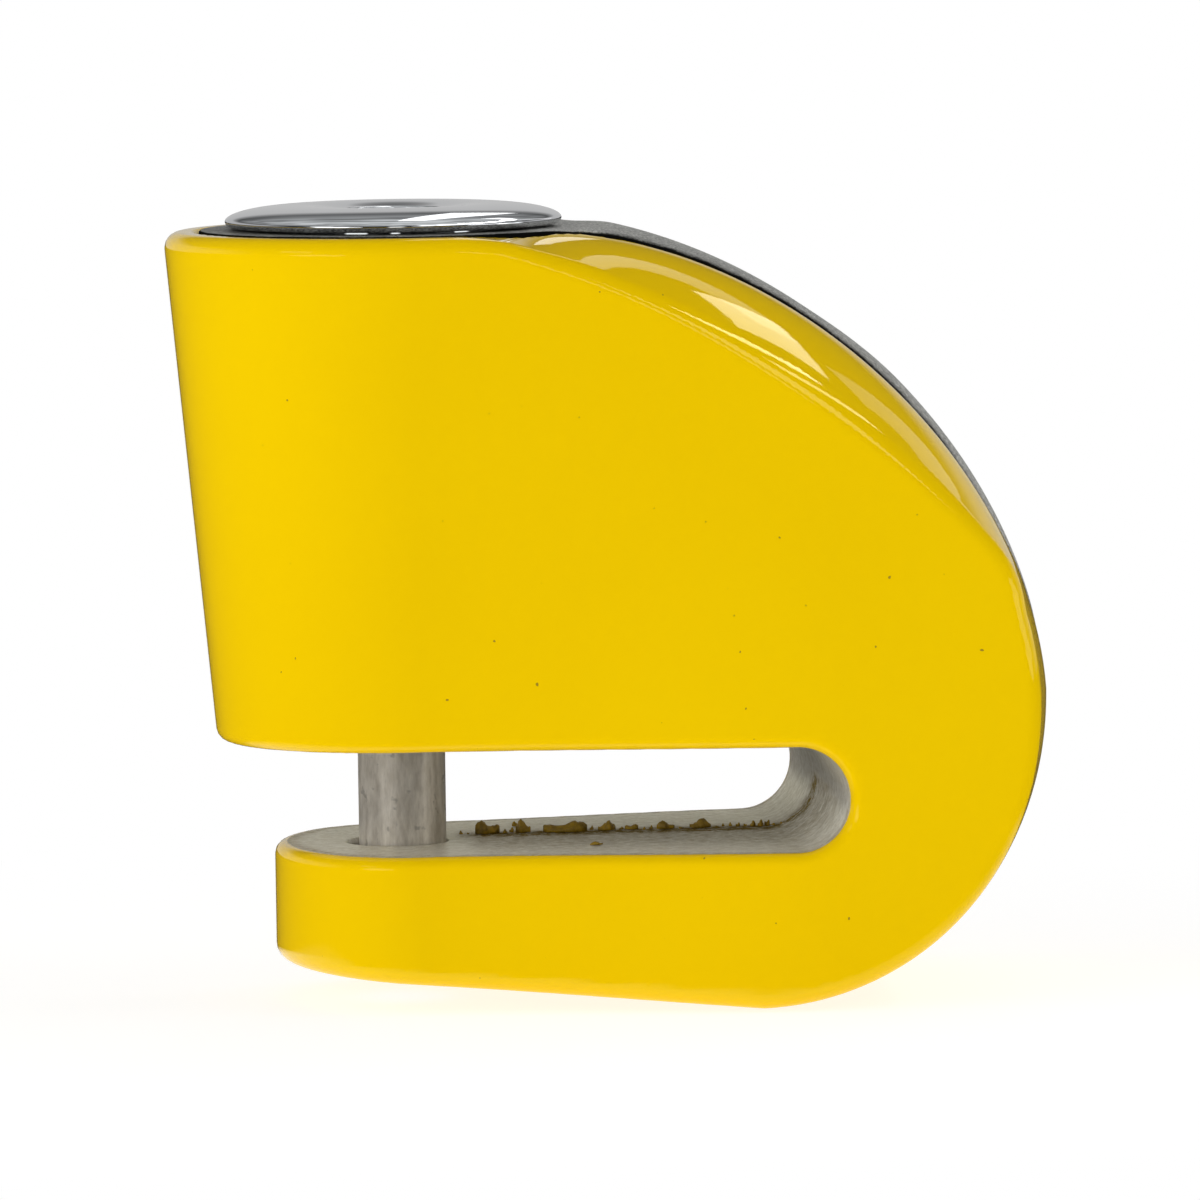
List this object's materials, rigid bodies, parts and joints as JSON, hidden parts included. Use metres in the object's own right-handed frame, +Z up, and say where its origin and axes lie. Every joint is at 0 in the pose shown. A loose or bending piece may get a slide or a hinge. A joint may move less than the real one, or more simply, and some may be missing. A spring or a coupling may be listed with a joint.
{
  "type": "motorcycle disc brake lock",
  "caption": "Compact disc brake lock with a slot for the brake disc, a spring-loaded locking pin under a round push button, and a key barrel that turns to release it.",
  "frame": {"origin": "on the flat lower face of the brake disc slot, on the lock's middle plane, 14 mm behind the locking pin's axis", "axes": "+Z up along the locking pin, from its tip to the push button; +X from the slot's open mouth to the closed back of the body; +Y across the body's thickness"},
  "size_m": [0.0592, 0.0308, 0.0533],
  "materials": {
    "yellow_paint": "glossy powder coat on die-cast metal",
    "grey_trim": "fine-textured dark grey strip",
    "chrome": "mirror chrome",
    "steel": "satin steel",
    "plunger_zinc": "machined grey metal",
    "brass": "machined brass",
    "rubber": "black seal rubber",
    "bush_bronze": "sintered bronze"
  },
  "bodies": {
    "body": {"lock_body": "yellow_paint", "top_trim": "grey_trim", "guide_bush": "bush_bronze", "spring_washer": "steel", "return_spring": "steel", "retaining_key": "steel", "key_screw": "steel"},
    "button": {"plunger": "plunger_zinc", "button_cap": "chrome", "cap_set_screw": "steel", "plunger_o_ring": "rubber", "locking_pin": "steel", "pin_dowel": "steel", "barrel_pin": "steel"},
    "barrel": {"key_barrel": "brass", "side_bar": "brass", "guard_disc": "steel", "detainer_disc_1": "brass", "detainer_disc_2": "brass", "detainer_disc_3": "brass", "detainer_disc_4": "brass", "detainer_disc_5": "brass", "detainer_disc_6": "brass", "disc_spacer_1": "steel", "disc_spacer_2": "steel", "disc_spacer_3": "steel", "disc_spacer_4": "steel", "disc_spacer_5": "steel", "cam": "steel"},
    "latch": {"latch_bolt": "steel"}
  },
  "joints": [
    {"name": "button_slide", "type": "slide", "parent": "body", "child": "button", "axis": [0, 0, 1], "range_m": [0, 0.0108], "deforming": ["return_spring"]},
    {"name": "key_turn", "type": "hinge", "parent": "button", "child": "barrel", "pos_m": [-0.014, 0, 0.035], "axis": [0, 0, 1], "range_deg": [0, 90]},
    {"name": "latch_slide", "type": "slide", "parent": "button", "child": "latch", "axis": [1, 0, 0], "range_m": [0, 0.0023]}
  ],
  "couplings": [
    {"joint": "latch_slide", "follows": "key_turn", "m_per_rad": 0.0014388}
  ]
}
